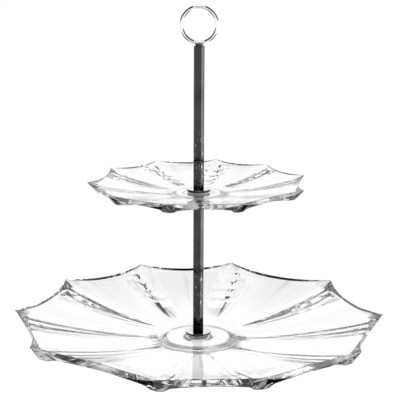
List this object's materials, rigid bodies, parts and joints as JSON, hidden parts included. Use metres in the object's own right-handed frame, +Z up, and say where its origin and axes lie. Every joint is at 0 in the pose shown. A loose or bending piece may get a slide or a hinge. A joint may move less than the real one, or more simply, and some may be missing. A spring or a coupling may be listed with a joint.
{
  "type": "tiered cake stand",
  "caption": "Star-shaped pressed glass plates clamped one above the other on a screwed metal stem with a ring handle on top.",
  "frame": {"origin": "centre of the foot ring, on the surface that the stand rests on", "axes": "+Z up along the stem; the ring handle lies in the XZ plane"},
  "size_m": [0.3529, 0.3452, 0.3268],
  "materials": {
    "glass": "clear fire-polished pressed glass",
    "rod": "dark polished metal",
    "collar": "polished metal with softened edges",
    "ring": "bright polished wire",
    "steel": "plain steel fasteners",
    "gasket": "clear soft plastic",
    "sleeve": "black nylon"
  },
  "bodies": {
    "base": {"lower_plate": "glass", "lower_sleeve": "sleeve", "lower_top_gasket": "gasket", "lower_bottom_gasket": "gasket", "base_washer": "steel"},
    "stem": {"lower_rod": "rod", "lower_collar": "collar", "support_collar": "collar", "joining_stud": "steel", "upper_bottom_gasket": "gasket"},
    "screw": {"base_screw": "steel"},
    "tier": {"upper_plate": "glass", "upper_sleeve": "sleeve"},
    "top_rod": {"upper_rod": "rod", "upper_collar": "collar", "upper_top_gasket": "gasket"},
    "handle": {"ring_handle": "ring", "handle_stud": "rod"}
  },
  "joints": [
    {"name": "base_turn", "type": "hinge", "parent": "base", "child": "stem", "pos_m": [0, 0, 0.0168], "axis": [0, 0, 1], "continuous": true},
    {"name": "screw_turn", "type": "hinge", "parent": "stem", "child": "screw", "pos_m": [0, 0, 0], "axis": [0, 0, 1], "continuous": true},
    {"name": "plate_turn", "type": "hinge", "parent": "stem", "child": "tier", "pos_m": [0, 0, 0.154], "axis": [0, 0, 1], "continuous": true},
    {"name": "rod_turn", "type": "hinge", "parent": "stem", "child": "top_rod", "pos_m": [0, 0, 0.1568], "axis": [0, 0, 1], "continuous": true},
    {"name": "handle_turn", "type": "hinge", "parent": "top_rod", "child": "handle", "pos_m": [0, 0, 0.2898], "axis": [0, 0, 1], "continuous": true}
  ]
}
